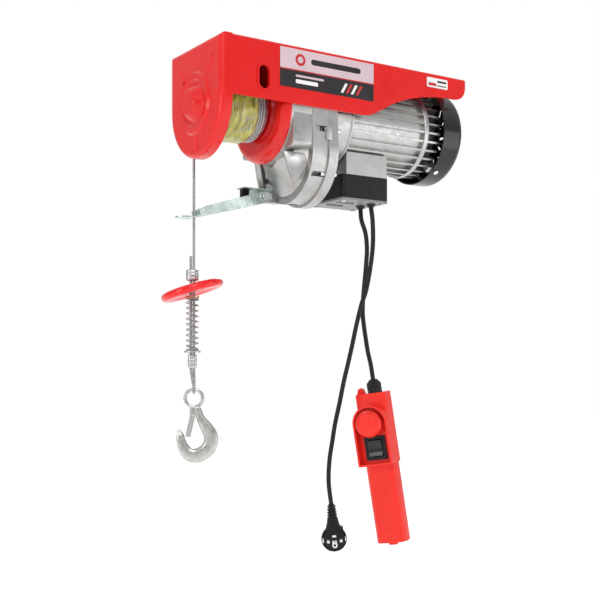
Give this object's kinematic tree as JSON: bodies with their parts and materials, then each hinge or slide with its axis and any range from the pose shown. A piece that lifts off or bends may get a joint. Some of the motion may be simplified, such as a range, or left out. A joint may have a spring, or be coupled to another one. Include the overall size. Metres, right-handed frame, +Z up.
{
  "type": "wire rope puller",
  "caption": "Compact electric wire-rope hoist: sheet frame with clamp holes, geared motor, rope drum, limit lever, hook block with latch, pendant control and mains lead.",
  "frame": {"origin": "centre of the four clamp-bolt holes, on the top face of the frame", "axes": "+Z is up, out of the frame's top face; +X runs along the drum and motor towards the fan; -Y is the label side"},
  "size_m": [0.4657, 0.1696, 0.741],
  "materials": {
    "red_paint": "gloss",
    "label_film": "gloss",
    "cast_alloy": "satin",
    "core_steel": "matte",
    "winding_copper": "gloss",
    "black_plastic": "gloss",
    "turned_steel": "satin",
    "bright_fasteners": "bright",
    "grey_plastic": "matte",
    "black_rubber": "matte",
    "zinc_plate": "satin",
    "galvanised_steel": "satin",
    "red_plastic": "gloss",
    "wire_rope": "greased",
    "packing_film": "gloss",
    "ferrule_alloy": "satin",
    "spring_steel": "bright",
    "copper_plate": "satin",
    "friction_lining": "matte"
  },
  "bodies": {
    "hoist_body": {"frame_channel": "red_paint", "end_cover": "red_paint", "name_labels": "label_film", "drum_plate": "red_paint", "gearcase": "cast_alloy", "motor_bell": "cast_alloy", "stator_housing": "cast_alloy", "stator_core": "core_steel", "stator_windings": "winding_copper", "rear_shield": "cast_alloy", "fan_cover": "black_plastic", "brake_magnet": "core_steel", "motor_bearings": "turned_steel", "intermediate_bearings": "turned_steel", "drum_bearings": "turned_steel", "gearcase_bolts": "bright_fasteners", "frame_screws": "bright_fasteners", "cover_screws": "bright_fasteners", "terminal_box": "black_plastic", "terminal_lid": "grey_plastic", "capacitor": "grey_plastic", "limit_switch": "black_plastic", "cable_grommets": "black_rubber", "lever_bracket": "zinc_plate", "lever_pin": "bright_fasteners", "pendant_cable": "black_rubber", "mains_cable": "black_rubber", "pendant_front": "red_plastic", "pendant_rear": "red_plastic", "pendant_gland": "black_rubber", "rocker_frame": "black_plastic", "mains_plug": "black_plastic", "plug_pins": "bright_fasteners"},
    "drum": {"drum": "turned_steel", "rope_windings": "wire_rope", "packing_film": "packing_film", "drum_shaft": "turned_steel", "drum_gear": "turned_steel"},
    "intermediate": {"intermediate_shaft": "turned_steel", "intermediate_gear": "turned_steel"},
    "rotor": {"rotor_core": "core_steel", "motor_shaft": "turned_steel", "motor_pinion": "turned_steel", "cooling_fan": "black_plastic", "brake_disc": "friction_lining"},
    "limit_lever": {"limit_lever": "zinc_plate"},
    "hook_block": {"rope_fall": "wire_rope", "rope_loop": "wire_rope", "rope_ferrules": "ferrule_alloy", "buffer_spring": "spring_steel", "lower_washer": "galvanised_steel"},
    "stop_disc": {"stop_disc": "red_paint", "upper_washer": "copper_plate"},
    "hook": {"load_hook": "galvanised_steel", "latch_pin": "bright_fasteners"},
    "latch": {"hook_latch": "zinc_plate"},
    "rocker": {"rocker": "black_plastic"},
    "stop_stem": {"stop_stem": "black_plastic"},
    "stop_button": {"stop_button": "red_plastic"}
  },
  "joints": [
    {"name": "drum_spin", "type": "hinge", "parent": "hoist_body", "child": "drum", "pos_m": [0, 0, -0.083], "axis": [1, 0, 0], "range_deg": [-346, 58]},
    {"name": "intermediate_spin", "type": "hinge", "parent": "hoist_body", "child": "intermediate", "pos_m": [0, 0, -0.138], "axis": [1, 0, 0], "range_deg": [-232, 1384]},
    {"name": "rotor_spin", "type": "hinge", "parent": "hoist_body", "child": "rotor", "pos_m": [0, 0, -0.083], "axis": [1, 0, 0], "range_deg": [-8760, 1470]},
    {"name": "hook_lift", "type": "slide", "parent": "hoist_body", "child": "hook_block", "axis": [0, 0, 1], "range_m": [-0.271, 0.045], "deforming": ["rope_fall"]},
    {"name": "disc_slide", "type": "slide", "parent": "hook_block", "child": "stop_disc", "axis": [0, 0, 1], "range_m": [-0.03, 0], "stiffness_N_per_m": 400, "springref_m": 0.006, "deforming": ["buffer_spring"]},
    {"name": "hook_swing", "type": "hinge", "parent": "hook_block", "child": "hook", "pos_m": [-0.1976, 0.045, -0.49105], "axis": [0.5519, 0.8339, 0], "range_deg": [-40, 40]},
    {"name": "latch_hinge", "type": "hinge", "parent": "hook", "child": "latch", "pos_m": [-0.19885, 0.04583, -0.523], "axis": [-0.5519, -0.8339, 0], "range_deg": [0, 30], "stiffness_Nm_per_rad": 0.02, "springref_deg": -28.65},
    {"name": "lever_hinge", "type": "hinge", "parent": "hoist_body", "child": "limit_lever", "pos_m": [-0.088, 0.04, -0.199], "axis": [0, 1, 0], "range_deg": [0, 12]},
    {"name": "rocker_tilt", "type": "hinge", "parent": "hoist_body", "child": "rocker", "pos_m": [0.07962, -0.02973, -0.57801], "axis": [0.5142, -0.8471, 0.134], "range_deg": [-8, 8], "stiffness_Nm_per_rad": 0.2},
    {"name": "stop_press", "type": "slide", "parent": "hoist_body", "child": "stop_stem", "axis": [0.8488, 0.5251, 0.0625], "range_m": [0, 0.004], "stiffness_N_per_m": 600, "springref_m": -0.004},
    {"name": "stop_twist", "type": "hinge", "parent": "stop_stem", "child": "stop_button", "pos_m": [0.06293, -0.0339, -0.54032], "axis": [0.8488, 0.5251, 0.0625], "range_deg": [0, 30], "stiffness_Nm_per_rad": 0.05, "springref_deg": -17.19}
  ],
  "couplings": [
    {"joint": "drum_spin", "follows": "hook_lift", "rad_per_m": 22.222},
    {"joint": "intermediate_spin", "follows": "hook_lift", "rad_per_m": -88.889},
    {"joint": "rotor_spin", "follows": "hook_lift", "rad_per_m": 562.96}
  ]
}
